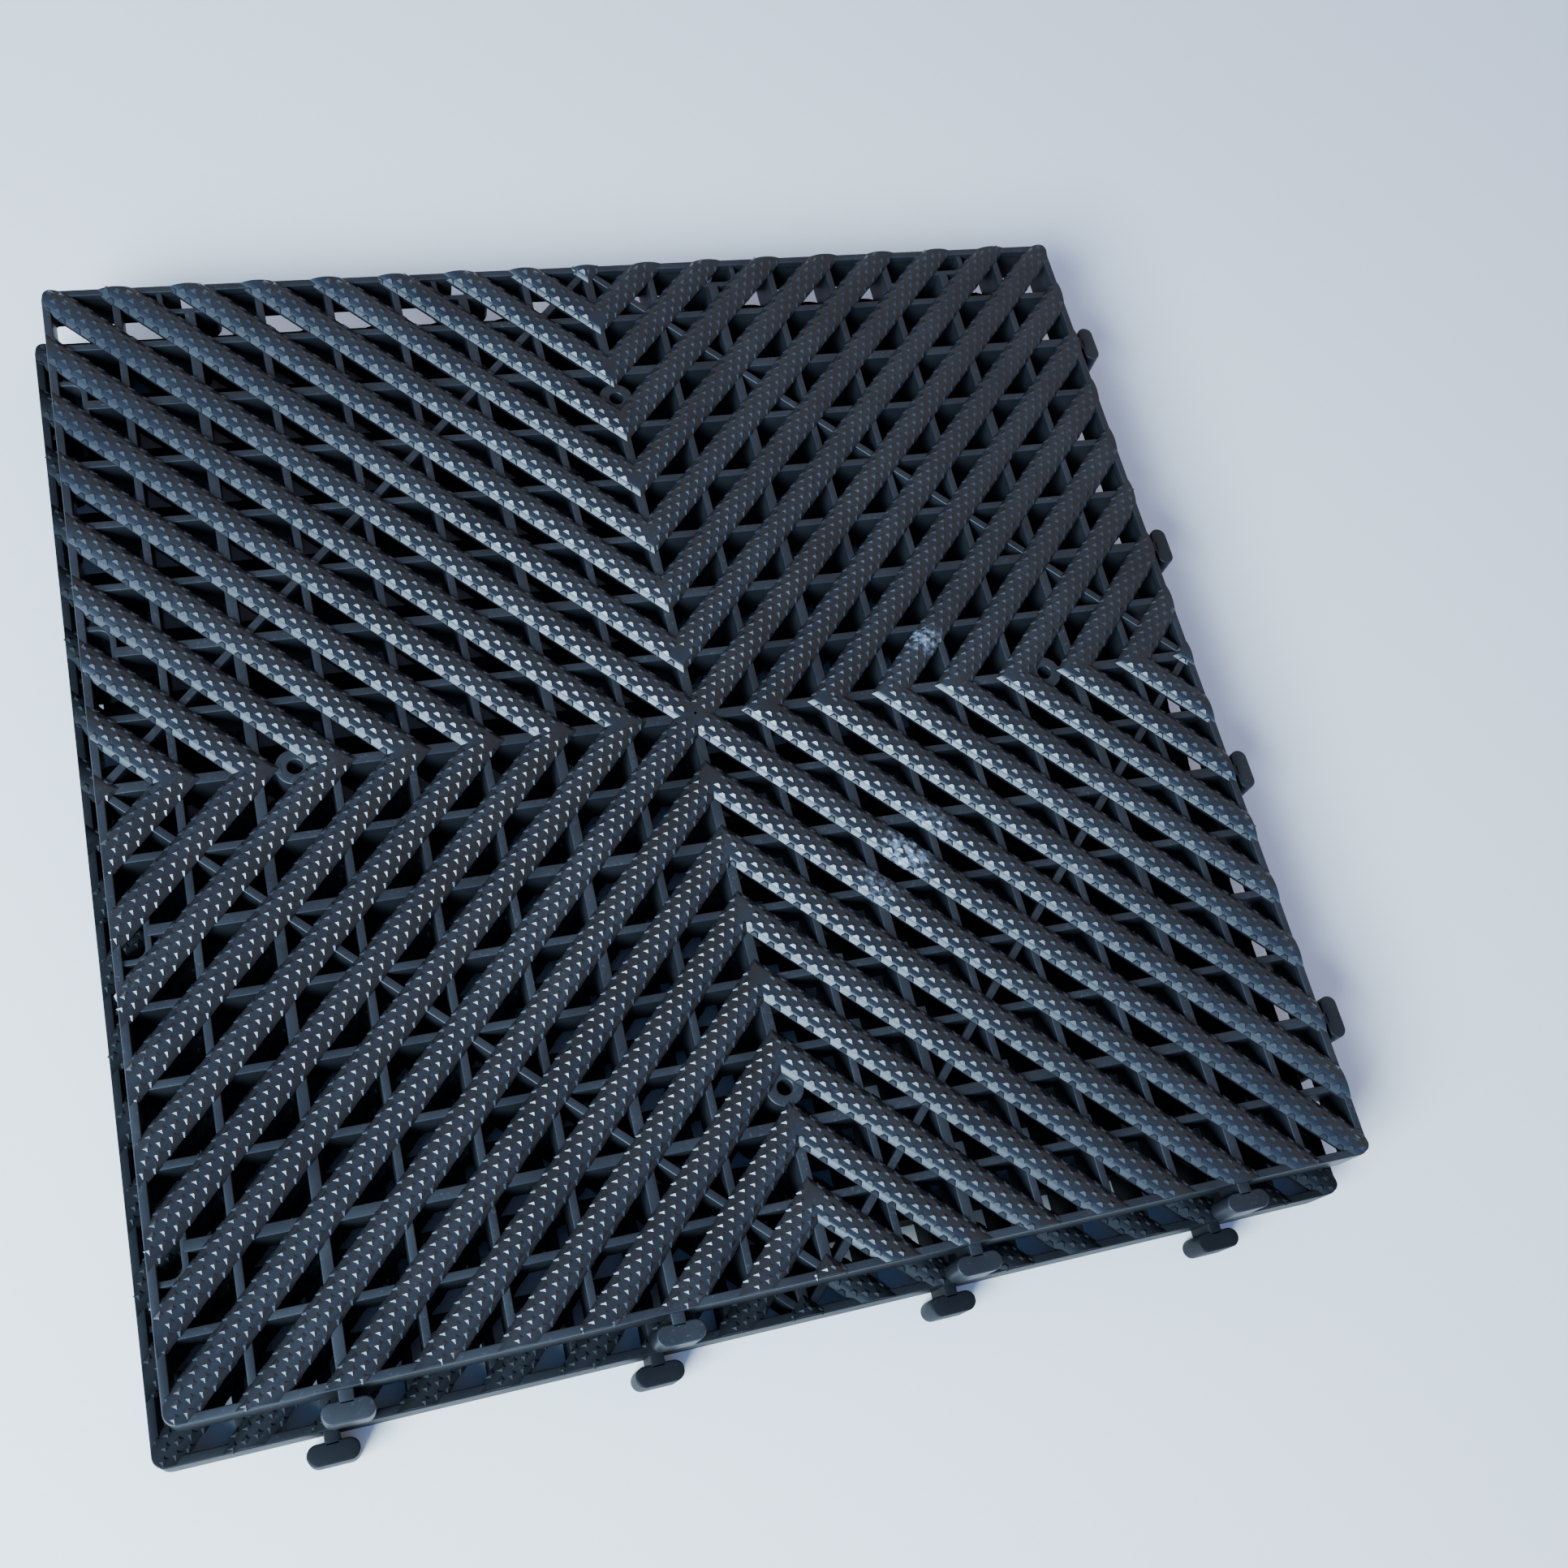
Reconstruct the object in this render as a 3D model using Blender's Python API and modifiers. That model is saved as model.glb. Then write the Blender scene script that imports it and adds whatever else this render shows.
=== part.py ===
"""Door mat: two square interlocking moulded plastic tiles, one lying on the other.

Each tile is a square grid of thin upright ribs under a tread of half-round bars. The bars run at
45 degrees and meet on the tile's two centre lines, so they form nested chevrons that point to the
middle. T-shaped tabs on the front and right sides hook into T-shaped sockets, moulded inside the
left and rear sides of the next tile. Four screw bosses stand on the centre ribs.

Metres, +Z up. The origin is on the floor under the middle of the lower tile.
"""

import math

import bmesh
import bpy
from mathutils import Matrix, Vector

# Whole tile
CELL = 0.025  # pitch of the rib grid
CELLS = 16  # cells along one side
TILE_HEIGHT = 0.018  # floor to the crest of the bars
CORNER_RADIUS = 0.004  # rounded corners of the outline
TILE_SIDE = CELL * CELLS

# Rib grid
RIB_WIDTH = 0.0028
WIDE_RIB_WIDTH = 0.0038  # ribs in line with the tabs, and the two centre ribs
BORDER_WIDTH = 0.0028  # outer wall
BRACE_WIDTH = 0.0028  # diagonal ribs that join the middles of the sides
TAB_LINES = (2, 6, 10, 14)  # grid lines that carry a tab or a socket
WIDE_LINES = TAB_LINES + (CELLS // 2,)

# Tread
BAR_WIDTH = 0.0106
BAR_RISE = 0.0024  # crest above the ribs
BAR_SEGMENTS = 12  # facets of the full circle that a bar is cut from
RIM_DEPTH = 0.001  # flat rim that ties the ends of the bars together
RIM_LAP = 0.0002  # rim stands into the bars by this much

# Gap between neighbouring solids
GAP = 0.0003

# T-shaped tabs
TAB_NECK_WIDTH = 0.0045
TAB_NECK_LENGTH = 0.0028
TAB_HEAD_LENGTH = 0.0158
TAB_HEAD_WIDTH = 0.0066
TAB_DROP = 0.0016  # tab's top below the top of the ribs

# Sockets
SOCKET_CLEARANCE = 0.0004
SOCKET_WALL = 0.0021

# Screw bosses
SCREW_CELLS = 5.5  # cells from the tile's middle to each screw
SCREW_HOLE_RADIUS = 0.0026
BOSS_RADIUS = 0.0066
ROUND_SEGMENTS = 16

# The upper tile's place on the lower one
STACK_SHIFT = (0.006, 0.009)

# Worked-out levels
BAR_BASE = TILE_HEIGHT - BAR_RISE
RIB_TOP = BAR_BASE - GAP
RIM_BASE = BAR_BASE - RIM_DEPTH
WALL_TOP = RIM_BASE - GAP
TAB_TOP = RIB_TOP - TAB_DROP
CUT_SPARE = 0.002  # how far a cutter runs past the faces it cuts

COLLECTION_NAME = "door_mat"
PLASTIC_COLOUR = (0.036, 0.037, 0.042)


def clear_scene():
    for item in list(bpy.data.objects):
        bpy.data.objects.remove(item, do_unlink=True)


def new_collection(name):
    collection = bpy.data.collections.new(name)
    bpy.context.scene.collection.children.link(collection)
    return collection


def add_object(name, mesh, collection):
    item = bpy.data.objects.new(name, mesh)
    collection.objects.link(item)
    return item


def mesh_from(name, bm):
    mesh = bpy.data.meshes.new(name)
    bmesh.ops.recalc_face_normals(bm, faces=bm.faces)
    bm.to_mesh(mesh)
    bm.free()
    return mesh


def add_cutter(name, bm, cutters):
    cutter = add_object(name, mesh_from(name, bm), cutters)
    cutter.hide_render = True
    cutter.display_type = "WIRE"
    return cutter


def add_box(bm, low, high, turn=0.0):
    """A box between two corners, turned about the vertical through its own middle."""
    low = Vector(low)
    high = Vector(high)
    size = high - low
    place = Matrix.Translation((low + high) / 2)
    spin = Matrix.Rotation(turn, 4, "Z")
    scale = Matrix.Diagonal((size.x, size.y, size.z, 1.0))
    return bmesh.ops.create_cube(bm, size=1.0, matrix=place @ spin @ scale)["verts"]


def add_rounded_box(bm, low, high, radius, segments=4):
    """A box whose four upright edges are rounded."""
    verts = add_box(bm, low, high)
    upright = [
        edge
        for edge in {edge for vert in verts for edge in vert.link_edges}
        if abs(edge.verts[0].co.z - edge.verts[1].co.z) > (high[2] - low[2]) / 2
    ]
    bmesh.ops.bevel(
        bm, geom=upright, offset=radius, segments=segments, profile=0.5, affect="EDGES"
    )


def add_boolean(target, operation, other):
    modifier = target.modifiers.new(other.name, "BOOLEAN")
    modifier.operation = operation
    modifier.solver = "EXACT"
    modifier.object = other


def finished_mesh(item, name):
    """The object's shape with its modifiers, as a mesh of its own. The object is removed."""
    graph = bpy.context.evaluated_depsgraph_get()
    mesh = bpy.data.meshes.new_from_object(item.evaluated_get(graph))
    mesh.name = name
    bpy.data.objects.remove(item, do_unlink=True)
    return mesh


def square_side(half):
    return (-half, -half), (half, half)


def add_outline(bm, half, low, high):
    """The tile's outline, a square with rounded corners, between two heights."""
    (x0, y0), (x1, y1) = square_side(half)
    add_rounded_box(bm, (x0, y0, low), (x1, y1, high), CORNER_RADIUS)


def line_place(line):
    return line * CELL - TILE_SIDE / 2


def cell_limits(index):
    """The clear span of a cell between the ribs on its two grid lines."""
    spans = []
    for line, side in ((index, 1), (index + 1, -1)):
        if line in (0, CELLS):
            half = BORDER_WIDTH
        elif line in WIDE_LINES:
            half = WIDE_RIB_WIDTH / 2
        else:
            half = RIB_WIDTH / 2
        spans.append(line_place(line) + side * half)
    return spans


def add_cells(bm):
    """One upright block for each hole of the grid."""
    for column in range(CELLS):
        x0, x1 = cell_limits(column)
        for row in range(CELLS):
            y0, y1 = cell_limits(row)
            add_box(bm, (x0, y0, -CUT_SPARE), (x1, y1, TILE_HEIGHT))


def add_braces(bm):
    """Four diagonal ribs that join the middles of the tile's sides."""
    middle = TILE_SIDE / 4
    half_length = TILE_SIDE / math.sqrt(8)
    for number in range(4):
        corner = math.pi / 4 + number * math.pi / 2
        x = middle * math.copysign(1, math.cos(corner))
        y = middle * math.copysign(1, math.sin(corner))
        add_box(
            bm,
            (x - BRACE_WIDTH / 2, y - half_length, -2 * CUT_SPARE),
            (x + BRACE_WIDTH / 2, y + half_length, TILE_HEIGHT + CUT_SPARE),
            corner,
        )


def screw_places():
    reach = SCREW_CELLS * CELL
    return [(reach, 0.0), (-reach, 0.0), (0.0, reach), (0.0, -reach)]


def add_posts(bm, radius, low, high):
    """An upright cylinder on each screw's axis."""
    for x, y in screw_places():
        bmesh.ops.create_cone(
            bm,
            cap_ends=True,
            segments=ROUND_SEGMENTS,
            radius1=radius,
            radius2=radius,
            depth=high - low,
            matrix=Matrix.Translation((x, y, (low + high) / 2)),
        )


def socket_size():
    """Depth of a socket's inner face behind the tile's edge, and half its length."""
    depth = TAB_NECK_LENGTH + TAB_HEAD_WIDTH + SOCKET_CLEARANCE
    return depth, TAB_HEAD_LENGTH / 2 + SOCKET_CLEARANCE * 2


def add_beside_edge(bm, near, far, half_length, radius, low, high):
    """A block behind the left and the rear edge at each tab line, from near to far inside it."""
    edge = TILE_SIDE / 2
    for line in TAB_LINES:
        middle = line_place(line)
        spots = (
            ((-edge + near, middle - half_length), (-edge + far, middle + half_length)),
            ((middle - half_length, edge - far), (middle + half_length, edge - near)),
        )
        for (x0, y0), (x1, y1) in spots:
            if radius:
                add_rounded_box(bm, (x0, y0, low), (x1, y1, high), radius)
            else:
                add_box(bm, (x0, y0, low), (x1, y1, high))


def build_rib_grid(cutters):
    """Upright ribs, outer wall, braces, screw bosses and socket walls, all one solid."""
    bm = bmesh.new()
    add_outline(bm, TILE_SIDE / 2, 0.0, WALL_TOP)
    grid = add_object("rib_grid_base", mesh_from("rib_grid_base", bm), cutters)

    bm = bmesh.new()
    inner = TILE_SIDE / 2 - BORDER_WIDTH - GAP
    add_box(bm, (-inner, -inner, WALL_TOP / 2), (inner, inner, RIB_TOP))
    raised = add_cutter("raised_field", bm, cutters)

    bm = bmesh.new()
    add_cells(bm)
    cells = add_cutter("cells", bm, cutters)

    bm = bmesh.new()
    add_braces(bm)
    braces = add_cutter("braces", bm, cutters)

    bm = bmesh.new()
    add_posts(bm, BOSS_RADIUS, -2 * CUT_SPARE, TILE_HEIGHT + CUT_SPARE)
    bosses = add_cutter("bosses", bm, cutters)

    depth, half_length = socket_size()
    bm = bmesh.new()
    add_beside_edge(
        bm,
        -SOCKET_WALL,
        depth + SOCKET_WALL,
        half_length + SOCKET_WALL,
        (TAB_HEAD_WIDTH + SOCKET_WALL) / 2,
        -2 * CUT_SPARE,
        TILE_HEIGHT + CUT_SPARE,
    )
    socket_walls = add_cutter("socket_walls", bm, cutters)

    bm = bmesh.new()
    add_beside_edge(
        bm,
        BORDER_WIDTH,
        depth,
        half_length,
        TAB_HEAD_WIDTH / 2,
        -CUT_SPARE,
        TILE_HEIGHT,
    )
    pockets = add_cutter("pockets", bm, cutters)

    bm = bmesh.new()
    neck_half = TAB_NECK_WIDTH / 2 + SOCKET_CLEARANCE
    add_beside_edge(
        bm,
        -CUT_SPARE,
        BORDER_WIDTH + SOCKET_CLEARANCE,
        neck_half,
        0.0,
        -CUT_SPARE,
        TILE_HEIGHT,
    )
    neck_slots = add_cutter("neck_slots", bm, cutters)

    bm = bmesh.new()
    add_posts(bm, SCREW_HOLE_RADIUS, -CUT_SPARE, TILE_HEIGHT)
    screw_holes = add_cutter("screw_holes", bm, cutters)

    for kept in (braces, bosses, socket_walls):
        add_boolean(cells, "DIFFERENCE", kept)
    add_boolean(grid, "UNION", raised)
    for cut in (cells, pockets, neck_slots, screw_holes):
        add_boolean(grid, "DIFFERENCE", cut)
    return finished_mesh(grid, "rib_grid")


def add_bars(bm):
    """Cylinders along the bars of the quarter at +X +Y, one through each diagonal."""
    rise = BAR_RISE
    radius = ((BAR_WIDTH / 2) ** 2 + rise**2) / (2 * rise)
    along = Matrix.Rotation(math.pi / 4, 4, "Z") @ Matrix.Rotation(math.pi / 2, 4, "Y")
    for offset in range(-CELLS // 2, CELLS // 2 + 1):
        middle = TILE_SIDE / 4
        x = middle + offset * CELL / 2
        y = middle - offset * CELL / 2
        bmesh.ops.create_cone(
            bm,
            cap_ends=True,
            segments=BAR_SEGMENTS,
            radius1=radius,
            radius2=radius,
            depth=TILE_SIDE,
            matrix=Matrix.Translation((x, y, TILE_HEIGHT - radius)) @ along,
        )


def build_tread(cutters):
    """The half-round bars and the flat rim that holds their outer ends, all one solid."""
    half = TILE_SIDE / 2
    bm = bmesh.new()
    (x0, y0), (x1, y1) = square_side(half + BORDER_WIDTH)
    add_box(bm, (x0, y0, RIM_BASE), (x1, y1, BAR_BASE + RIM_LAP))
    tread = add_object("tread_base", mesh_from("tread_base", bm), cutters)

    bm = bmesh.new()
    (x0, y0), (x1, y1) = square_side(half - BORDER_WIDTH)
    add_box(bm, (x0, y0, 0.0), (x1, y1, TILE_HEIGHT))
    field = add_cutter("rim_opening", bm, cutters)

    bm = bmesh.new()
    add_bars(bm)
    bars = add_cutter("bars", bm, cutters)

    bm = bmesh.new()
    (x0, y0), (x1, y1) = square_side(2 * TILE_SIDE)
    add_box(bm, (x0, y0, BAR_BASE), (x1, y1, TILE_HEIGHT + CUT_SPARE))
    above_ribs = add_cutter("above_ribs", bm, cutters)

    bm = bmesh.new()
    add_outline(bm, half, 0.0, TILE_HEIGHT + CUT_SPARE)
    outline = add_cutter("outline", bm, cutters)

    add_boolean(bars, "INTERSECT", above_ribs)
    add_boolean(tread, "DIFFERENCE", field)
    add_boolean(tread, "UNION", bars)
    add_boolean(tread, "INTERSECT", outline)
    mirror = tread.modifiers.new("four_quarters", "MIRROR")
    mirror.use_axis = (True, True, False)
    mirror.use_bisect_axis = (True, True, False)
    mirror.merge_threshold = 0.00001
    return finished_mesh(tread, "tread")


def build_tab(cutters):
    """A T-shaped tab that points along -Y, its root at the origin."""
    root = -GAP
    head_near = -TAB_NECK_LENGTH
    head_far = head_near - TAB_HEAD_WIDTH
    half = TAB_HEAD_LENGTH / 2
    bm = bmesh.new()
    radius = TAB_HEAD_WIDTH * 0.49
    add_rounded_box(bm, (-half, head_far, 0.0), (half, head_near, TAB_TOP), radius)
    tab = add_object("tab_head", mesh_from("tab_head", bm), cutters)

    bm = bmesh.new()
    neck_half = TAB_NECK_WIDTH / 2
    middle = (head_far + head_near) / 2
    add_box(bm, (-neck_half, middle, 0.0), (neck_half, root, TAB_TOP))
    neck = add_cutter("tab_neck", bm, cutters)
    add_boolean(tab, "UNION", neck)
    return finished_mesh(tab, "tab")


def plastic(name, roughness):
    material = bpy.data.materials.new(name)
    material.use_nodes = True
    shader = material.node_tree.nodes["Principled BSDF"]
    shader.inputs["Base Color"].default_value = (*PLASTIC_COLOUR, 1.0)
    shader.inputs["Roughness"].default_value = roughness
    shader.inputs["Metallic"].default_value = 0.0
    return material


def place_piece(name, mesh, parent, parts, roughness, location=(0, 0, 0), turn=0.0):
    piece = add_object(name, mesh.copy(), parts)
    piece.data.materials.clear()
    piece.data.materials.append(plastic(name, roughness))
    piece.location = location
    piece.rotation_euler = (0.0, 0.0, turn)
    piece.parent = parent
    return piece


def place_tile(tile, meshes, parts, location):
    """All the pieces of one tile, on an empty at the middle of the tile's underside."""
    parent = bpy.data.objects.new(f"{tile}_tile", None)
    parts.objects.link(parent)
    parent.location = location
    place_piece(f"{tile}_rib_grid", meshes["rib_grid"], parent, parts, 0.5)
    place_piece(f"{tile}_tread", meshes["tread"], parent, parts, 0.42)
    half = TILE_SIDE / 2
    for number, line in enumerate(TAB_LINES, start=1):
        spot = line_place(line)
        front = (spot, -half, 0.0)
        right = (half, spot, 0.0)
        quarter_turn = math.pi / 2
        place_piece(f"{tile}_tab_front_{number}", meshes["tab"], parent, parts, 0.45, front)
        place_piece(
            f"{tile}_tab_right_{number}", meshes["tab"], parent, parts, 0.45, right, quarter_turn
        )


def main():
    clear_scene()
    parts = new_collection(COLLECTION_NAME)
    cutters = new_collection("cutters")
    meshes = {
        "rib_grid": build_rib_grid(cutters),
        "tread": build_tread(cutters),
        "tab": build_tab(cutters),
    }
    place_tile("lower", meshes, parts, (0.0, 0.0, 0.0))
    place_tile("upper", meshes, parts, (*STACK_SHIFT, TILE_HEIGHT + GAP))


main()
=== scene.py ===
import math

import bmesh
import bpy
import numpy as np
from mathutils import Matrix, Vector


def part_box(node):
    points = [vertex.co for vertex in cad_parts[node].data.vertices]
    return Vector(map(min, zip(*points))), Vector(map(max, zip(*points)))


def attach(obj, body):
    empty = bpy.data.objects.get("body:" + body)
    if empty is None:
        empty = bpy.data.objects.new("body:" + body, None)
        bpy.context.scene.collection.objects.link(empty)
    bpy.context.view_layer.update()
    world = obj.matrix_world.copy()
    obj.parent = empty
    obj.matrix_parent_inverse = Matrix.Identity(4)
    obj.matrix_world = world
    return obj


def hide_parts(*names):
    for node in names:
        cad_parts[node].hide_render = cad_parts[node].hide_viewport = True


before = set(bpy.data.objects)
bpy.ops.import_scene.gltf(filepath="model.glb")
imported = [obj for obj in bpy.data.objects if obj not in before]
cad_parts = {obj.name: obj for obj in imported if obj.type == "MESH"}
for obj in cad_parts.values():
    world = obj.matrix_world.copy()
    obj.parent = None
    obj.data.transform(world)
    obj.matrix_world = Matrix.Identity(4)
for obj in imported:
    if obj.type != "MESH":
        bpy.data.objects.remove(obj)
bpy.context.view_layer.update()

# what the whole tile is drawn to, in metres
tile = {
    "cell": 0.025,  # from rib to rib
    "cells": 16,
    "cornerRadius": 0.004,
    "wall": 0.0028,  # thickness of the outer wall
    "tabLines": (2, 6, 10, 14),  # ribs with a tab at one end and a socket at the other
}
half = tile["cell"] * tile["cells"] / 2


# ---- meshes from arrays ----

def gridFaces(rows, cols, closeRows=False, closeCols=False):
    # corner numbers of each four-sided face of a grid of points that is stored row by row
    r, c = np.meshgrid(np.arange(rows - (not closeRows)), np.arange(cols - (not closeCols)), indexing="ij")
    r2, c2 = (r + 1) % rows, (c + 1) % cols
    return np.stack([r * cols + c, r * cols + c2, r2 * cols + c2, r2 * cols + c], -1).reshape(-1, 4)


def gridPatch(points, closeRows=False, closeCols=False, wear=0.0):
    # one surface, or a stack of like surfaces, from an array (..., rows, columns, 3)
    rows, cols = points.shape[-3:-1]
    flat = points.reshape(-1, 3)
    first = np.arange(len(flat) // (rows * cols))[:, None, None] * rows * cols
    faces = (gridFaces(rows, cols, closeRows, closeCols)[None] + first).reshape(-1, 4)
    return flat, faces, np.broadcast_to(wear, points.shape[:-1]).reshape(-1)


def endCaps(points, wear=0.0):
    # closes both ends of a swept outline (..., 2 or more rows, columns, 3): each point of the first
    # half of the outline is joined across to its partner in the second half
    cols = points.shape[-2]
    near, far = np.arange(cols // 2), cols - 1 - np.arange(cols // 2)
    caps = [gridPatch(np.stack([points[..., row, near, :], points[..., row, far, :]], -3), wear=wear)
            for row in (0, -1)]
    return caps


def mirrored(patches, sx, sy):
    # patches with the signs of x and y given by sx and sy
    return [(p * (sx, sy, 1.0), f, w) for p, f, w in patches]


def putMesh(name, patches, material, weld=0.0, sharp=38.0, shift=(0.0, 0.0, 0.0)):
    points = np.concatenate([p for p, f, w in patches]) + shift
    first = np.cumsum([0] + [len(p) for p, f, w in patches])
    loops = np.concatenate([(f + s).ravel() for (p, f, w), s in zip(patches, first)])
    sizes = np.concatenate([np.full(len(f), f.shape[1]) for p, f, w in patches])
    mesh = bpy.data.meshes.new(name)
    mesh.vertices.add(len(points))
    mesh.vertices.foreach_set("co", points.astype(np.float32).ravel())
    mesh.loops.add(len(loops))
    mesh.loops.foreach_set("vertex_index", loops.astype(np.int32))
    mesh.polygons.add(len(sizes))
    mesh.polygons.foreach_set("loop_start", (np.cumsum(sizes) - sizes).astype(np.int32))
    mesh.update(calc_edges=True)
    mark = mesh.attributes.new("wear", "FLOAT", "POINT")
    mark.data.foreach_set("value", np.concatenate([w for p, f, w in patches]).astype(np.float32))
    tidyMesh(mesh, weld)
    mesh.polygons.foreach_set("use_smooth", np.ones(len(mesh.polygons), bool))
    mesh.set_sharp_from_angle(angle=math.radians(sharp))
    mesh.materials.append(material)
    piece = bpy.data.objects.new(name, mesh)
    bpy.context.scene.collection.objects.link(piece)
    print(f"{name}: {sum(len(p.vertices) - 2 for p in mesh.polygons)} triangles")
    return piece


def tidyMesh(mesh, weld):
    # welds points that coincide, drops faces with no area and turns every face outwards
    bm = bmesh.new()
    bm.from_mesh(mesh)
    if weld:
        bmesh.ops.remove_doubles(bm, verts=bm.verts, dist=weld)
        bmesh.ops.dissolve_degenerate(bm, edges=bm.edges, dist=weld)
    bmesh.ops.recalc_face_normals(bm, faces=bm.faces)
    bm.to_mesh(mesh)
    bm.free()


# ---- materials ----

def newGroup(name, inputs, outputs):
    # a shader node group with named inputs (name, kind, default) and outputs (name, kind)
    group = bpy.data.node_groups.new(name, "ShaderNodeTree")
    for label, kind, value in inputs:
        socket = group.interface.new_socket(name=label, in_out="INPUT", socket_type=kind)
        socket.default_value = value
    for label, kind in outputs:
        group.interface.new_socket(name=label, in_out="OUTPUT", socket_type=kind)
    return group, group.nodes.new("NodeGroupInput"), group.nodes.new("NodeGroupOutput")


def addNode(tree, kind, settings=None, values=None):
    node = tree.nodes.new(kind)
    for key, value in (settings or {}).items():
        setattr(node, key, value)
    for key, value in (values or {}).items():
        if isinstance(value, bpy.types.NodeSocket):
            tree.links.new(value, node.inputs[key])
        else:
            node.inputs[key].default_value = value
    return node


def mapRange(tree, value, low, high, toLow=0.0, toHigh=1.0):
    return addNode(tree, "ShaderNodeMapRange", {}, {
        "Value": value, "From Min": low, "From Max": high, "To Min": toLow, "To Max": toHigh}).outputs[0]


def arithmetic(tree, operation, a, b=0.0):
    return addNode(tree, "ShaderNodeMath", {"operation": operation}, {0: a, 1: b}).outputs[0]


def mixColours(tree, share, a, b):
    node = addNode(tree, "ShaderNodeMix", {"data_type": "RGBA"}, {0: share})
    for slot, value in ((6, a), (7, b)):
        if isinstance(value, bpy.types.NodeSocket):
            tree.links.new(value, node.inputs[slot])
        else:
            node.inputs[slot].default_value = (*value, 1.0)
    return node.outputs[2]


def addNoise(tree, place, scale, detail, roughness=0.5):
    return addNode(tree, "ShaderNodeTexNoise", {}, {
        "Vector": place, "Scale": scale, "Detail": detail, "Roughness": roughness}).outputs["Fac"]


def buildGrainGroup():
    # moulded grain: fine noise, with broad soft flow marks under it
    group, given, out = newGroup("mouldedGrain", [
        ("Coordinates", "NodeSocketVector", (0, 0, 0)), ("Fine Scale", "NodeSocketFloat", 2600.0),
        ("Broad Scale", "NodeSocketFloat", 38.0), ("Broad Share", "NodeSocketFloat", 0.35)],
        [("Height", "NodeSocketFloat"), ("Variation", "NodeSocketFloat")])
    place = given.outputs["Coordinates"]
    fine = addNoise(group, place, given.outputs["Fine Scale"], 3.0, 0.6)
    broad = addNoise(group, place, given.outputs["Broad Scale"], 4.0, 0.55)
    share = arithmetic(group, "MULTIPLY", broad, given.outputs["Broad Share"])
    group.links.new(arithmetic(group, "ADD", fine, share), out.inputs["Height"])
    group.links.new(broad, out.inputs["Variation"])
    return group


dustCut = {  # where each mask starts and is full
    "upward": (0.35, 0.95),  # of the normal's upward share
    "patches": (0.42, 0.72), "specks": (0.60, 0.74),  # of the noise
}


def buildDustGroup():
    # dust that lies in broken patches on faces turned upwards, with paler specks in it
    group, given, out = newGroup("settledDust", [
        ("Coordinates", "NodeSocketVector", (0, 0, 0)), ("Patch Scale", "NodeSocketFloat", 22.0),
        ("Speck Scale", "NodeSocketFloat", 900.0), ("Amount", "NodeSocketFloat", 0.3)],
        [("Dust", "NodeSocketFloat"), ("Specks", "NodeSocketFloat")])
    facing = addNode(group, "ShaderNodeNewGeometry").outputs["Normal"]
    up = addNode(group, "ShaderNodeSeparateXYZ", {}, {0: facing}).outputs["Z"]
    upward = mapRange(group, up, *dustCut["upward"])
    place = given.outputs["Coordinates"]
    patches = addNoise(group, place, given.outputs["Patch Scale"], 6.0, 0.65)
    specks = addNoise(group, place, given.outputs["Speck Scale"], 2.0)
    broken = mapRange(group, patches, *dustCut["patches"])
    speckled = mapRange(group, specks, *dustCut["specks"])
    dust = arithmetic(group, "MULTIPLY", broken, upward)
    dust = arithmetic(group, "MULTIPLY", dust, given.outputs["Amount"])
    group.links.new(dust, out.inputs["Dust"])
    group.links.new(arithmetic(group, "MULTIPLY", speckled, dust), out.inputs["Specks"])
    return group


rubCut = {"rim": (1.0, 0.2), "streaks": (0.42, 0.66)}  # where the oval and its streaks start and are full


def buildRubGroup():
    # a rubbed oval: full in the middle, fading to its rim, and broken up by fine streaks
    group, given, out = newGroup("rubbedPatch", [
        ("Coordinates", "NodeSocketVector", (0, 0, 0)), ("Middle", "NodeSocketVector", (0, 0, 0)),
        ("Reach", "NodeSocketVector", (0.03, 0.015, 1.0)), ("Turn", "NodeSocketVector", (0, 0, 0)),
        ("Streak Scale", "NodeSocketFloat", 420.0)], [("Share", "NodeSocketFloat")])
    local = addNode(group, "ShaderNodeMapping", {"vector_type": "TEXTURE"}, {
        "Vector": given.outputs["Coordinates"], "Location": given.outputs["Middle"],
        "Rotation": given.outputs["Turn"], "Scale": given.outputs["Reach"]}).outputs[0]
    far = addNode(group, "ShaderNodeVectorMath", {"operation": "LENGTH"}, {0: local}).outputs["Value"]
    streaks = addNoise(group, given.outputs["Coordinates"], given.outputs["Streak Scale"], 4.0)
    share = arithmetic(group, "MULTIPLY", mapRange(group, far, *rubCut["rim"]),
                       mapRange(group, streaks, *rubCut["streaks"]))
    group.links.new(share, out.inputs["Share"])
    return group


grainGroup = buildGrainGroup()
dustGroup = buildDustGroup()
rubGroup = buildRubGroup()

scuffs = {  # pale rubbed ovals on the tread: from the middle of the tile, in metres and degrees
    "amount": 0.75, "colour": (0.27, 0.30, 0.35),
    "tall": 0.02,  # how far each reaches up and down from the crests
    "first": {"middle": (0.062, -0.064), "reach": (0.026, 0.012), "turn": 38.0},
    "second": {"middle": (0.093, 0.019), "reach": (0.012, 0.007), "turn": -30.0},
}
upperLow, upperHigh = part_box("upper_rib_grid")


def rubbed(tree, place, look):
    middle = [(upperLow[k] + upperHigh[k]) / 2 + look["middle"][k] for k in range(2)]
    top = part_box("upper_tread")[1].z
    return addNode(tree, "ShaderNodeGroup", {"node_tree": rubGroup}, {
        "Coordinates": place, "Middle": (*middle, top), "Reach": (*look["reach"], scuffs["tall"]),
        "Turn": (0.0, 0.0, math.radians(look["turn"]))}).outputs["Share"]


flowCut = {"colour": (0.3, 0.75), "wear": (0.35, 0.7)}  # where the broad flow marks start and are full
dustRoughness = 0.35  # added where dust lies


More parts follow.
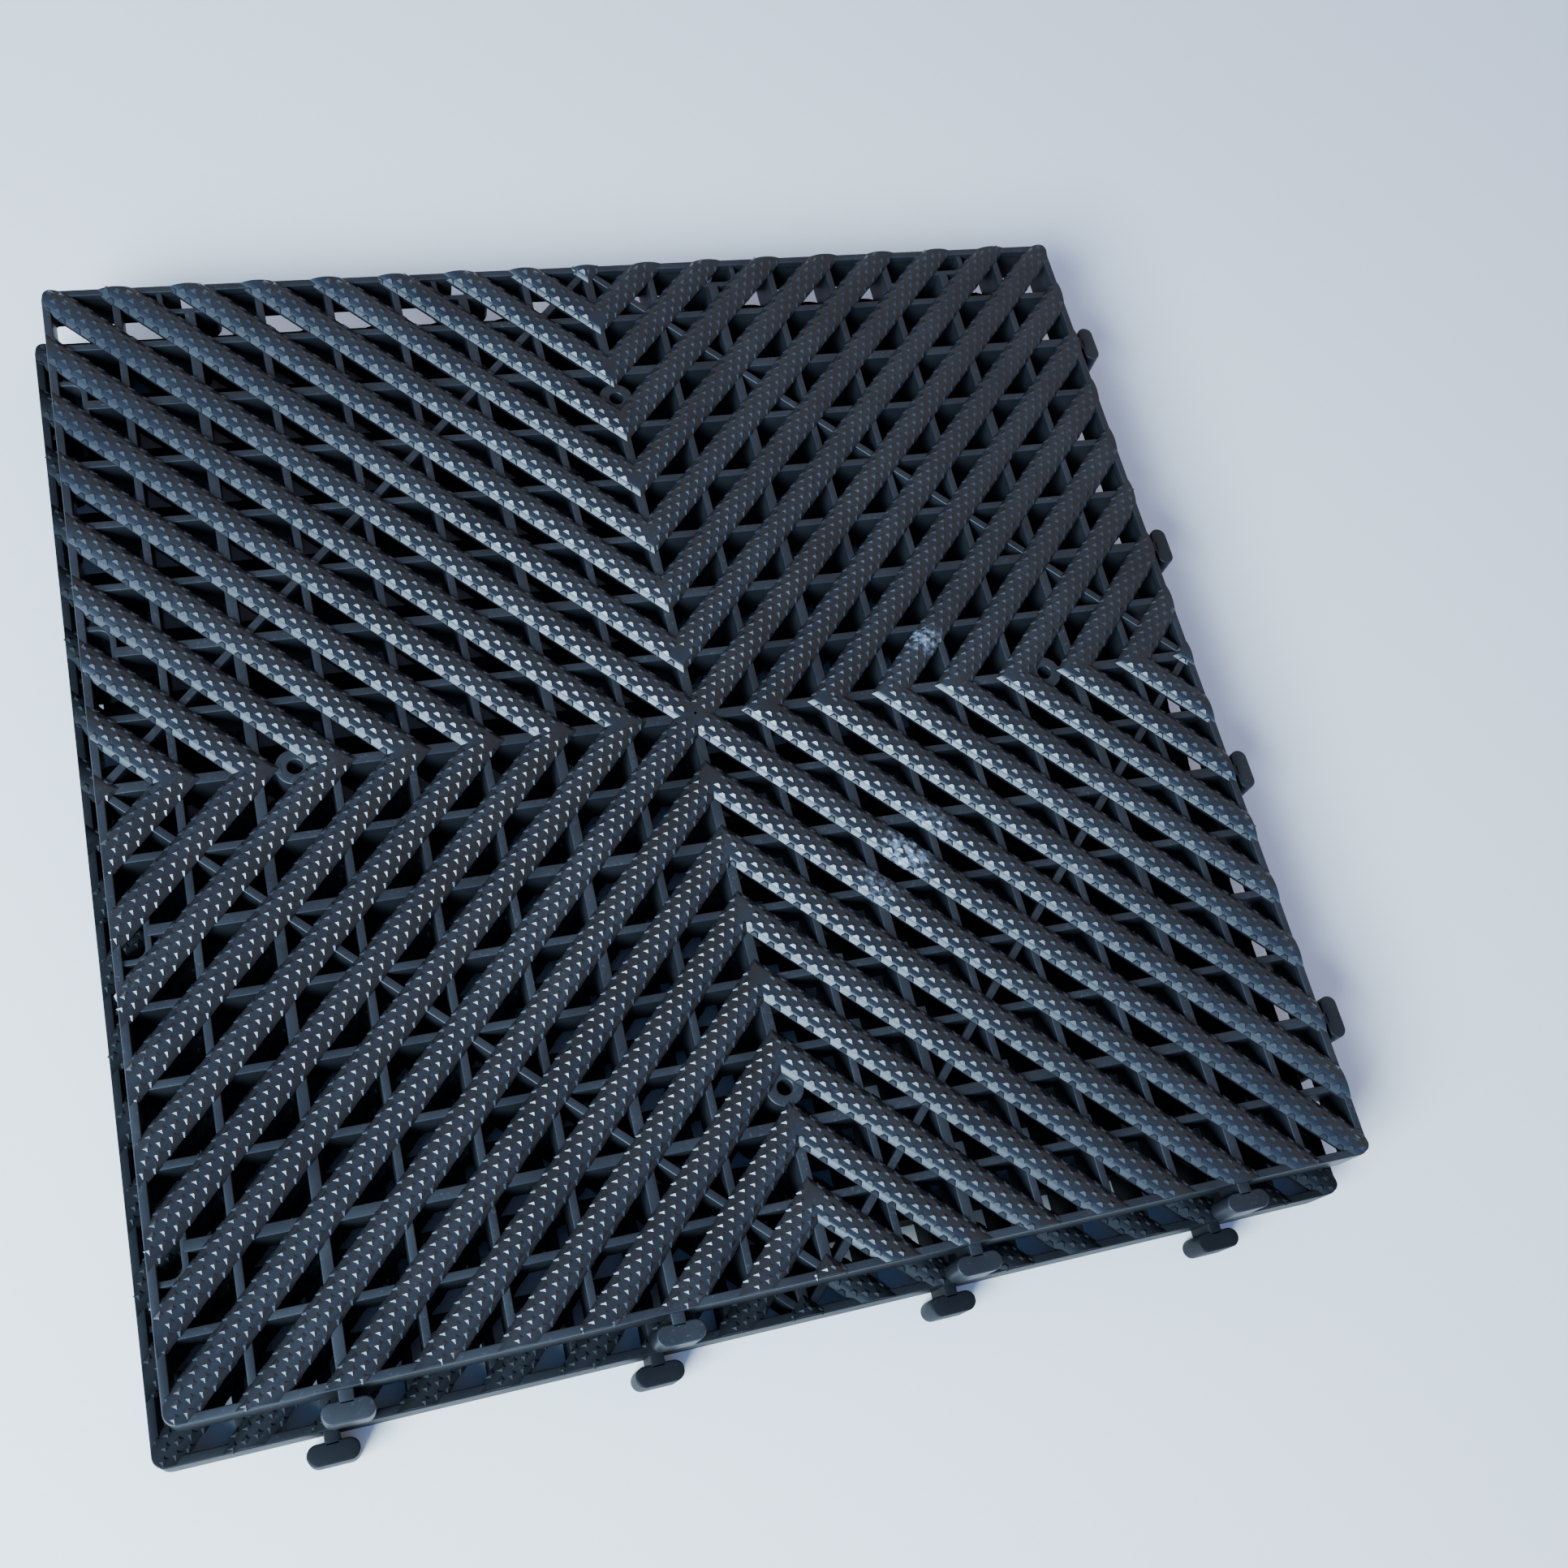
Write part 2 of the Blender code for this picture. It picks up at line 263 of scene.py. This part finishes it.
def makePlastic(name, look):
    # dark moulded plastic: grain in the bump, wear on edges and crests, dust on top
    material = bpy.data.materials.new(name)
    material.use_nodes = True
    tree = material.node_tree
    tree.nodes.clear()
    place = addNode(tree, "ShaderNodeTexCoord").outputs["Object"]
    grain = addNode(tree, "ShaderNodeGroup", {"node_tree": grainGroup}, {
        "Coordinates": place, "Fine Scale": look["grainScale"], "Broad Share": look["flowShare"]})
    dust = addNode(tree, "ShaderNodeGroup", {"node_tree": dustGroup}, {
        "Coordinates": place, "Amount": look["dust"]})
    flow = grain.outputs["Variation"]
    wear = addNode(tree, "ShaderNodeAttribute", {"attribute_name": "wear"}).outputs["Fac"]
    worn = arithmetic(tree, "MULTIPLY", wear, mapRange(tree, flow, *flowCut["wear"]))
    worn = arithmetic(tree, "MULTIPLY", worn, look["wear"])
    marks = mapRange(tree, flow, *flowCut["colour"])
    colour = mixColours(tree, marks, look["colour"], look["flowColour"])
    colour = mixColours(tree, worn, colour, look["wornColour"])
    colour = mixColours(tree, dust.outputs["Dust"], colour, look["dustColour"])
    colour = mixColours(tree, dust.outputs["Specks"], colour, look["speckColour"])
    for oval in look["scuffs"]:
        share = arithmetic(tree, "MULTIPLY", rubbed(tree, place, scuffs[oval]), scuffs["amount"])
        colour = mixColours(tree, share, colour, scuffs["colour"])
    rough = mapRange(tree, flow, *flowCut["colour"], look["roughLow"], look["roughHigh"])
    dusty = arithmetic(tree, "MULTIPLY", dust.outputs["Dust"], dustRoughness)
    rough = arithmetic(tree, "ADD", rough, dusty)
    bump = addNode(tree, "ShaderNodeBump", {}, {
        "Strength": look["bump"], "Distance": look["bumpDepth"], "Height": grain.outputs["Height"]})
    shader = addNode(tree, "ShaderNodeBsdfPrincipled", {}, {
        "Base Color": colour, "Roughness": rough, "Normal": bump.outputs[0],
        "IOR": look["ior"], "Specular IOR Level": look["specular"]})
    out = addNode(tree, "ShaderNodeOutputMaterial")
    tree.links.new(shader.outputs[0], out.inputs[0])
    return material


plasticLook = {
    "colour": (0.0075, 0.0076, 0.0088), "flowColour": (0.0115, 0.0112, 0.0122),
    "wornColour": (0.045, 0.047, 0.053),
    "dustColour": (0.07, 0.071, 0.074), "speckColour": (0.30, 0.32, 0.34), "dust": 0.2, "wear": 0.35,
    "roughLow": 0.42, "roughHigh": 0.55, "grainScale": 2600.0, "flowShare": 0.35,
    "bump": 0.35, "bumpDepth": 0.00006, "ior": 1.5, "specular": 0.5, "scuffs": (),
}
barLook = {"specular": 0.42, "roughLow": 0.31, "roughHigh": 0.39, "wear": 0.06, "dust": 0.08,
           "scuffs": ("first", "second")}
studLook = {"roughLow": 0.25, "roughHigh": 0.33, "wear": 0.15, "dust": 0.05, "bump": 0.12,
            "scuffs": ("first", "second")}
tabLook = {"roughLow": 0.4, "roughHigh": 0.5, "dust": 0.12, "specular": 0.3}
ribLook = {"roughLow": 0.38, "roughHigh": 0.48, "dust": 0.12, "wear": 0.2, "specular": 0.36}
# the lower tile's copies are painted blacker and less glossy as painted shade for the shadow it lies in
# under the upper tile; it also never gets rubbed, so it has less wear and dust and no scuffs
paintedShadeLook = {"colour": (0.0045, 0.0045, 0.005), "flowColour": (0.007, 0.0068, 0.007),
                 "dust": 0.05, "wear": 0.05, "roughLow": 0.5, "roughHigh": 0.62,
                 "specular": 0.14, "scuffs": ()}
looks = {"rib": ribLook, "bar": barLook, "stud": studLook, "tab": tabLook}
plastics = {}
for kind, own in looks.items():
    plastics["upper", kind] = makePlastic(f"{kind}Plastic", {**plasticLook, **own})
    # the lower copy of each plastic carries painted shade: a blacker colour and lower specular
    plastics["lower", kind] = makePlastic(f"{kind}PlasticPaintedShade",
                                          {**plasticLook, **own, **paintedShadeLook})
print(f"materials: {len(plastics)} plastics, 3 shared groups")


# ---- ribs, wall, rings and bosses ----

ribs = {
    "thin": 0.0028, "wide": 0.0038,  # widths at the top
    "wideLines": (2, 6, 8, 10, 14),
    "draft": 0.00025,  # how much wider each side is at the foot
    "edge": 0.0004,  # rounding of the top edges
    "brace": 0.0028,
    "wallRise": 0.0009,  # the outer wall stands this much above the ribs
    "lap": 0.0002,  # the wall's lower runs stand this far into its top band
    "step": 0.00004,  # crossing runs differ this much in height, so that no two tops lie in one plane
}
socket = {
    "depth": 0.0098, "halfLength": 0.0087,  # the pocket, from the outer edge and along it
    "corner": 0.0033, "ring": 0.0021,  # inner corner and thickness of the ring round it
    "slot": 0.0053, "slotTop": 0.0133,  # the neck's way through the wall
}
boss = {"distance": 0.1375, "radius": 0.0066, "hole": 0.0026, "edge": 0.0005, "sides": 48}


def ribOutline(width, top, foot=0.0):
    # a rib's cross-section (across, height): splayed sides, and a top rounded by quarter circles
    width, top = np.asarray(width, float)[..., None], np.asarray(top, float)[..., None]
    turn = np.radians(np.linspace(0, 90, 4))
    side = width / 2 - ribs["edge"] * (1 - np.cos(turn))
    rise = top - ribs["edge"] * (1 - np.sin(turn))
    low = width / 2 + ribs["draft"]
    across = np.concatenate([-low, -side, side[..., ::-1], low], -1)
    height = np.concatenate([np.full_like(low, foot), rise, rise[..., ::-1], np.full_like(low, foot)], -1)
    wear = np.r_[0, 0.3, 0.8, 1, 0.7, 0.7, 1, 0.8, 0.3, 0]
    return across, height, wear


def straightRuns(starts, ends, widths, tops, foot=0.0):
    # ribs between pairs of points: the outline set across the line at each end
    starts, ends = np.asarray(starts, float), np.asarray(ends, float)
    across, height, wear = ribOutline(widths, tops, foot)
    line = (ends - starts) / np.linalg.norm(ends - starts, axis=-1, keepdims=True)
    side = np.stack([line[:, 1], -line[:, 0]], -1)
    rows = np.stack([starts, ends], 1)[:, :, None, :] + side[:, None, None, :] * across[:, None, :, None]
    tall = np.broadcast_to(height[:, None, :, None], (*rows.shape[:-1], 1))
    points = np.concatenate([rows, tall], -1)
    return [gridPatch(points, closeCols=True, wear=wear), *endCaps(points)]


def sweptRun(path, outward, offsets, heights, closed, wear=0.0):
    # a cross-section carried along a flat path: each point goes outwards by its offset
    flat = path[:, None, :] + outward[:, None, :] * offsets[None, :, None]
    points = np.concatenate([flat, np.broadcast_to(heights[None, :, None], (*flat.shape[:2], 1))], -1)
    patch = gridPatch(points, closeRows=closed, closeCols=True, wear=wear)
    return [patch] if closed else [patch, *endCaps(points)]


def cornerArc(cx, cy, radius, start, steps=7):
    # a quarter turn about a centre, with its outward directions
    turn = np.radians(start + np.linspace(0, 90, steps))
    outward = np.stack([np.cos(turn), np.sin(turn)], -1)
    return np.array([cx, cy]) + radius * outward, outward


def buildRibs(ribTop):
    lines = np.arange(1, tile["cells"])
    count = len(lines)
    place = lines * tile["cell"] - half
    width = np.where(np.isin(lines, ribs["wideLines"]), ribs["wide"], ribs["thin"])
    inner = half - tile["wall"] / 2
    held = np.isin(lines, tile["tabLines"])
    stop = half - socket["depth"] - socket["ring"] / 2
    plain = lines != tile["cells"] // 2
    patches = []
    # runs from left to right stop at a socket on the left; runs from front to rear at one on the rear
    alongX = np.stack([np.where(held, -stop, -inner), place], -1)[plain]
    patches += straightRuns(alongX, np.stack([np.full(count, inner), place], -1)[plain], width[plain],
                            np.full(plain.sum(), ribTop))
    alongY = np.stack([place, np.full(count, -inner)], -1)[plain]
    patches += straightRuns(alongY, np.stack([place, np.where(held, stop, inner)], -1)[plain], width[plain],
                            np.full(plain.sum(), ribTop - ribs["step"]))
    # the two middle ribs are broken at the screw bosses
    at, gap = boss["distance"], (boss["radius"] + boss["hole"]) / 2
    spans = np.array([[-inner, -at - gap], [-at + gap, at - gap], [at + gap, inner]])
    zero = np.zeros(3)
    middle = np.full(3, ribs["wide"])
    patches += straightRuns(np.stack([spans[:, 0], zero], -1), np.stack([spans[:, 1], zero], -1), middle,
                            np.full(3, ribTop))
    patches += straightRuns(np.stack([zero, spans[:, 0]], -1), np.stack([zero, spans[:, 1]], -1), middle,
                            np.full(3, ribTop - ribs["step"]))
    # diagonal braces join the middles of the sides
    tips = np.array([[inner, 0], [0, inner], [-inner, 0], [0, -inner]], float)
    patches += straightRuns(tips, np.roll(tips, -1, 0), np.full(4, ribs["brace"]),
                            np.full(4, ribTop - 2 * ribs["step"]))
    return patches


def buildWall(ribTop):
    # the outer wall: a top band all round, and below it runs that leave a slot for each neck
    radius, middle = tile["cornerRadius"], half - tile["wall"] / 2
    centre = half - radius
    bend = radius - tile["wall"] / 2
    quarters = [cornerArc(sx * centre, sy * centre, bend, start) for sx, sy, start in
                ((1, 1, 0), (-1, 1, 90), (-1, -1, 180), (1, -1, 270))]
    path = np.concatenate([q[0] for q in quarters])
    outward = np.concatenate([q[1] for q in quarters])
    under = socket["slotTop"]
    edge = ribs["edge"]
    turn = np.radians(np.linspace(0, 90, 4))
    side = tile["wall"] / 2 - edge * (1 - np.cos(turn))
    rise = ribTop - edge * (1 - np.sin(turn))
    offsets = np.r_[-tile["wall"] / 2, -side, side[::-1], tile["wall"] / 2]
    heights = np.r_[under, rise, rise[::-1], under]
    wear = np.r_[0, 0.3, 0.8, 1, 0.7, 0.7, 1, 0.8, 0.3, 0]
    patches = sweptRun(path, outward, offsets, heights, True, wear)
    low = np.r_[-tile["wall"] / 2, -tile["wall"] / 2, tile["wall"] / 2, tile["wall"] / 2]
    tall = np.r_[0.0, under + ribs["lap"], under + ribs["lap"], 0.0]
    lines = np.array(tile["tabLines"]) * tile["cell"] - half
    gap = socket["slot"] / 2

    def run(points, normals):
        return sweptRun(np.asarray(points, float), np.asarray(normals, float), low, tall, False)

    # the long run goes round the front and right sides, from the first left slot to the last rear slot
    start, end = np.array([[-middle, lines[0] - gap]]), np.array([[lines[3] + gap, middle]])
    route = [start, quarters[2][0], quarters[3][0], quarters[0][0], end]
    facing = [np.array([[-1, 0]]), quarters[2][1], quarters[3][1], quarters[0][1], np.array([[0, 1]])]
    patches += run(np.concatenate(route), np.concatenate(facing))
    route = [np.array([[lines[0] - gap, middle]]), quarters[1][0], np.array([[-middle, lines[3] + gap]])]
    facing = [np.array([[0, 1]]), quarters[1][1], np.array([[-1, 0]])]
    patches += run(np.concatenate(route), np.concatenate(facing))
    for a, b in zip(lines[:-1] + gap, lines[1:] - gap):
        patches += run([(-middle, a), (-middle, b)], [(-1, 0), (-1, 0)])
        patches += run([(a, middle), (b, middle)], [(0, 1), (0, 1)])
    return patches


def buildSocketRings(ribTop):
    # a ring with two rounded corners stands on the inside of the wall round each pocket
    reach, deep = socket["halfLength"] + socket["ring"] / 2, socket["depth"] + socket["ring"] / 2
    bend = socket["corner"] + socket["ring"] / 2
    first = cornerArc(deep - bend, reach - bend, bend, 0)
    second = cornerArc(deep - bend, -reach + bend, bend, 270)
    foot = tile["wall"] / 2
    path = np.concatenate([[(foot, -reach)], second[0], first[0], [(foot, reach)]])
    outward = np.concatenate([[(0, -1)], second[1], first[1], [(0, 1)]])
    across, height, wear = ribOutline(socket["ring"], ribTop - 3 * ribs["step"])
    across = np.clip(across, -socket["ring"] / 2, socket["ring"] / 2)
    patches = []
    for line in tile["tabLines"]:
        at = line * tile["cell"] - half
        left = sweptRun(path, outward, across, height, False, wear)
        patches += [(p + (-half, at, 0.0), f, w) for p, f, w in left]
        patches += [(np.stack([p[:, 1] + at, half - p[:, 0], p[:, 2]], -1), f, w) for p, f, w in left]
    return patches


def buildBosses(ribTop):
    # hollow posts: a closed ring profile (radius, height) turned about the screw hole
    edge, top = boss["edge"], ribTop - 4 * ribs["step"]
    turn = np.radians(np.linspace(0, 90, 4))
    radius = np.r_[boss["radius"], boss["radius"] - edge * (1 - np.cos(turn)),
                   (boss["hole"] + edge * (1 - np.cos(turn)))[::-1], boss["hole"]]
    height = np.r_[0.0, top - edge * (1 - np.sin(turn)), (top - edge * (1 - np.sin(turn)))[::-1], 0.0]
    around = np.linspace(0, 2 * np.pi, boss["sides"], endpoint=False)[:, None]
    ring = np.stack([np.cos(around) * radius, np.sin(around) * radius,
                     np.broadcast_to(height, (len(around), len(radius)))], -1)
    at = boss["distance"]
    wear = np.r_[0, 0.2, 0.6, 0.9, 0.7, 0.7, 0.9, 0.6, 0.2, 0]
    return [gridPatch(ring + (x, y, 0.0), closeRows=True, closeCols=True, wear=wear)
            for x, y in ((at, 0), (-at, 0), (0, at), (0, -at))]


# ---- bars and studs ----

bars = {
    "width": 0.0106, "rise": 0.0024,  # arched above the ribs
    "skirt": 0.0016,  # how far the sides go down between the ribs
    "inset": 0.0004,  # the ends stay this far behind the outer face of the wall
    "taper": 0.0002,  # each side leans in by this much at its foot
    "steps": 14,
}
studs = {
    "pitch": 0.0066, "rowGap": 0.00177, "rows": 6,  # staggered rows along each bar
    "height": 0.0005, "sunk": 0.0003,
    "ridge": (0.00039, 0.0001),  # half the length and half the width of the tip
    "spread": (1.47, 1.42),  # how far the ends and the sides run out for each unit of height
    "follow": 0.45,  # share of the bar's lean that a stud takes on
    "clear": 0.0014,  # kept free at both ends of a bar
}


def barEnds(offset):
    # along a diagonal of one quarter, where a line this far to its side starts and ends
    edge, radius = half - bars["inset"], tile["cornerRadius"] - bars["inset"]
    offset = np.clip(offset, -edge / math.sqrt(2), edge / math.sqrt(2))
    square = edge * math.sqrt(2) - np.abs(offset)
    rounded = (edge - radius) * math.sqrt(2) + np.sqrt(np.clip(radius**2 - offset**2, 0, None))
    near = np.abs(offset) < radius / math.sqrt(2)
    return offset, np.abs(offset), np.where(near, np.minimum(rounded, square), square)


def barOutline(ribTop):
    # shallow arched top on two short sides that lean in a little, as (across, height) and wear
    width, rise = bars["width"], bars["rise"]
    radius = ((width / 2) ** 2 + rise**2) / (2 * rise)
    reach = math.asin(width / 2 / radius)
    turn = np.linspace(-reach, reach, bars["steps"])
    foot, low = width / 2 - bars["taper"], ribTop - bars["skirt"]
    across = np.r_[-foot, radius * np.sin(turn), foot]
    height = np.r_[low, ribTop + rise - radius + radius * np.cos(turn), low]
    return across, height, np.r_[0, np.cos(turn / reach * np.pi / 2) ** 2, 0]


def fourQuarters(patches):
    signs = ((1, 1), (-1, 1), (-1, -1), (1, -1))
    return [patch for sx, sy in signs for patch in mirrored(patches, sx, sy)]


def buildBars(ribTop):
    # one quarter: bars side by side along its diagonal, each line of a bar cut where it meets the middle
    # ribs or the outer edge, so the ends are mitred; the other quarters are its mirror images
    across, height, wear = barOutline(ribTop)
    number = np.arange(-tile["cells"] // 2, tile["cells"] // 2 + 1)
    offset, start, end = barEnds(number[:, None] * tile["cell"] / math.sqrt(2) + across[None, :])
    along = np.stack([start, end], 1)
    side = np.broadcast_to(offset[:, None, :], along.shape)
    points = np.stack([(along + side) / math.sqrt(2), (along - side) / math.sqrt(2),
                       np.broadcast_to(height, along.shape)], -1)
    patches = [gridPatch(points, closeCols=True, wear=wear), endCaps(points)[1]]
    return fourQuarters(patches)


def buildStuds(ribTop):
    # small hipped roofs with their ridges along the bar, in staggered rows, each leaning partly with
    # the bar's arch
    width, rise = bars["width"], bars["rise"]
    radius = ((width / 2) ** 2 + rise**2) / (2 * rise)
    number = np.arange(-tile["cells"] // 2, tile["cells"] // 2 + 1) * tile["cell"] / math.sqrt(2)
    row = np.arange(studs["rows"])
    across = (row - (studs["rows"] - 1) / 2) * studs["rowGap"]
    step = np.arange(int(half * math.sqrt(2) / studs["pitch"]) + 1)
    along = (step[None, None, :] + 0.5 * (row % 2)[None, :, None] + 0.25) * studs["pitch"]
    side = number[:, None, None] + across[None, :, None]
    start, end = barEnds(side)[1:]
    clear = studs["clear"]
    keep = (np.abs(side) < half / math.sqrt(2)) & (along > start + clear) & (along < end - clear)
    along, side, off = (np.broadcast_to(v, keep.shape)[keep] for v in (along, side, across[None, :, None]))
    lean = np.arcsin(off / radius)
    tilt = lean * studs["follow"]
    foot = [r + s * (studs["height"] + studs["sunk"]) for r, s in zip(studs["ridge"], studs["spread"])]
    u = np.outer([foot[0], studs["ridge"][0]], [1, -1, -1, 1]).ravel()
    v = np.outer([foot[1], studs["ridge"][1]], [1, 1, -1, -1]).ravel()
    w = np.array([-studs["sunk"]] * 4 + [studs["height"]] * 4)
    a = along[:, None] + u
    d = side[:, None] + v * np.cos(tilt)[:, None] + w * np.sin(tilt)[:, None]
    z = (ribTop + rise - radius + radius * np.cos(lean)[:, None]
         - v * np.sin(tilt)[:, None] + w * np.cos(tilt)[:, None])
    points = np.stack([(a + d) / math.sqrt(2), (a - d) / math.sqrt(2), z], -1).reshape(-1, 3)
    one = np.array([[0, 1, 5, 4], [1, 2, 6, 5], [2, 3, 7, 6], [3, 0, 4, 7], [4, 5, 6, 7], [3, 2, 1, 0]])
    faces = (one[None] + np.arange(len(along))[:, None, None] * 8).reshape(-1, 4)
    wear = np.tile(np.r_[np.zeros(4), np.ones(4)], len(along))
    return [(points, faces, wear)]


# ---- tabs ----

tab = {
    "edge": 0.0006, "headWidth": 0.0066, "neckWidth": 0.0045, "sides": 40,
    "footEdge": 0.0002,  # bevel at the foot of the head
    "intoWall": 0.0003, "intoHead": 0.001,  # how far the neck runs into each
}


def buildTab(low, high):
    # T-shaped tab in the space of its solid: a head with round ends, and a neck back to the wall
    size = [high[k] - low[k] for k in range(3)]
    toRight = size[1] > size[0]  # the tabs on the right side are longest along Y
    long, deep = (size[1], size[0]) if toRight else (size[0], size[1])
    thick = tab["headWidth"]
    radius, edge, top = thick / 2, tab["edge"], size[2]
    turn = np.radians(np.linspace(0, 90, 5))
    bevel = tab["footEdge"]
    inward = np.r_[0.0, radius - edge, (radius - edge * (1 - np.cos(turn)))[::-1][1:],
                   radius, radius - bevel, 0.0]
    height = np.r_[top, top, (top - edge * (1 - np.sin(turn)))[::-1][1:], bevel, 0.0, 0.0]
    around = np.linspace(0, 2 * np.pi, tab["sides"], endpoint=False)[:, None]
    shift = np.where(np.cos(around) >= 0, 1, -1) * (long / 2 - radius)
    head = np.stack([shift + inward * np.cos(around), inward * np.sin(around) + 0 * shift,
                     np.broadcast_to(height, (len(around), len(height)))], -1)
    wear = np.r_[0.2, 0.3, 0.8, 1, 0.8, 0.3, 0, 0, 0]
    patches = [gridPatch(head - (0, deep - radius, 0), closeRows=True, wear=wear)]
    patches += straightRuns([(0.0, tab["intoWall"])], [(0.0, -(deep - thick) - tab["intoHead"])],
                            [tab["neckWidth"]], [top])
    if toRight:
        return [(np.stack([low[0] - p[:, 1], (low[1] + high[1]) / 2 + p[:, 0], low[2] + p[:, 2]], -1), f, w)
                for p, f, w in patches]
    return [(p + ((low[0] + high[0]) / 2, high[1], low[2]), f, w) for p, f, w in patches]


# ---- put both tiles together ----

weldWithin = 0.000002  # points of one piece that are nearer than this become one
flatWithin = 20.0  # degrees: every edge of a stud that turns further than this stays crisp

for name in ("lower", "upper"):
    low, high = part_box(f"{name}_rib_grid")
    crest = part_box(f"{name}_tread")[1].z - low.z
    shift = ((low.x + high.x) / 2, (low.y + high.y) / 2, low.z)
    ribTop = crest - bars["rise"]
    body = f"{name}_tile"

    parts = (buildRibs(ribTop) + buildWall(ribTop + ribs["wallRise"]) + buildSocketRings(ribTop)
             + buildBosses(ribTop))
    grid = putMesh(f"{name}RibGrid", parts, plastics[name, "rib"], shift=shift)
    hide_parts(f"{name}_rib_grid")
    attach(grid, body)

    tread = putMesh(f"{name}TreadBars", buildBars(ribTop), plastics[name, "bar"],
                    weld=weldWithin, shift=shift)
    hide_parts(f"{name}_tread")
    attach(tread, body)

    bumps = putMesh(f"{name}TreadStuds", fourQuarters(buildStuds(ribTop)), plastics[name, "stud"],
                    sharp=flatWithin, shift=shift)
    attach(bumps, body)

    for side in ("front", "right"):
        for number in range(1, 5):
            node = f"{name}_tab_{side}_{number}"
            piece = putMesh(f"{name}Tab{side.capitalize()}{number}", buildTab(*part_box(node)),
                            plastics[name, "tab"], weld=weldWithin)
            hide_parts(node)
            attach(piece, body)
print("tiles: both placed")


# ---- floor, light and camera ----

stageLook = {
    "floor": {"colour": (0.97, 0.88, 0.78), "roughness": 0.7, "specular": 0.2, "reach": 6.0},
    "sky": {"toward": (-0.62, -0.62, 0.48), "bright": (0.17, 0.48, 1.35), "dark": (0.62, 0.565, 0.54),
            "start": 0.0, "full": 0.62, "strength": 1.0, "backdrop": (0.78, 0.79, 0.80)},
    "key": {"from": (-0.98, -0.75, 0.86), "size": (0.85, 0.7), "power": 100.0, "colour": (0.56, 0.79, 1.0)},
}


def addFloor():
    look = stageLook["floor"]
    mesh = bpy.data.meshes.new("floor")
    corners = [(x * look["reach"], y * look["reach"], 0) for x, y in ((-1, -1), (1, -1), (1, 1), (-1, 1))]
    mesh.from_pydata(corners, [], [(0, 1, 2, 3)])
    floor = bpy.data.objects.new("floor", mesh)
    bpy.context.scene.collection.objects.link(floor)
    material = bpy.data.materials.new("paleFloor")
    material.use_nodes = True
    shader = material.node_tree.nodes["Principled BSDF"]
    shader.inputs["Base Color"].default_value = (*look["colour"], 1.0)
    shader.inputs["Roughness"].default_value = look["roughness"]
    shader.inputs["Specular IOR Level"].default_value = look["specular"]
    mesh.materials.append(material)


def addLight(name, look, target):
    lamp = bpy.data.lights.new(name, "AREA")
    lamp.shape = "RECTANGLE"
    lamp.size, lamp.size_y = look["size"]
    lamp.energy = look["power"]
    lamp.color = look["colour"]
    light = bpy.data.objects.new(name, lamp)
    bpy.context.scene.collection.objects.link(light)
    light.location = look["from"]
    light.rotation_mode = "QUATERNION"
    light.rotation_quaternion = (Vector(look["from"]) - target).to_track_quat("Z", "Y")


def addWorld():
    # a studio sky that is cool and bright towards one side, and dim and neutral on the other; where it is
    # seen directly it is one plain pale backdrop
    world = bpy.data.worlds.new("studio")
    bpy.context.scene.world = world
    world.use_nodes = True
    tree, look = world.node_tree, stageLook["sky"]
    where = addNode(tree, "ShaderNodeTexCoord").outputs["Generated"]
    side = addNode(tree, "ShaderNodeVectorMath", {"operation": "DOT_PRODUCT"}, {
        0: where, 1: Vector(look["toward"]).normalized()}).outputs["Value"]
    share = mapRange(tree, side, look["start"], look["full"])
    colour = mixColours(tree, share, look["dark"], look["bright"])
    seen = addNode(tree, "ShaderNodeLightPath").outputs["Is Camera Ray"]
    sky = tree.nodes["Background"]
    tree.links.new(mixColours(tree, seen, colour, look["backdrop"]), sky.inputs["Color"])
    sky.inputs["Strength"].default_value = look["strength"]


view = {  # the camera, from the middle of the upper tile's rib tops
    "from": (-0.1450, -0.2553, 0.5420), "forward": (0.292, 0.342, -0.893), "right": (0.946, -0.240, 0.217),
    "lens": 39.53, "sensor": 36.0, "shift": (-0.0176, 0.0269), "clip": (0.01, 50.0),
    "below": 0.0034,  # the middle that it is placed from is this far under the crests
}


def addCamera(target):
    forward = Vector(view["forward"]).normalized()
    right = Vector(view["right"])
    right = (right - forward * right.dot(forward)).normalized()
    up = right.cross(forward)
    data = bpy.data.cameras.new("camera")
    data.lens, data.sensor_width = view["lens"], view["sensor"]
    data.shift_x, data.shift_y = view["shift"]
    data.clip_start, data.clip_end = view["clip"]
    camera = bpy.data.objects.new("camera", data)
    bpy.context.scene.collection.objects.link(camera)
    turn = Matrix((right, up, -forward)).transposed().to_4x4()
    camera.matrix_world = Matrix.Translation(target + Vector(view["from"])) @ turn
    bpy.context.scene.camera = camera


low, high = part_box("upper_rib_grid")
target = Vector(((low.x + high.x) / 2, (low.y + high.y) / 2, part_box("upper_tread")[1].z - view["below"]))
addFloor()
addWorld()
addLight("key", stageLook["key"], target)
addCamera(target)
print("stage: floor, sky, key light, camera")
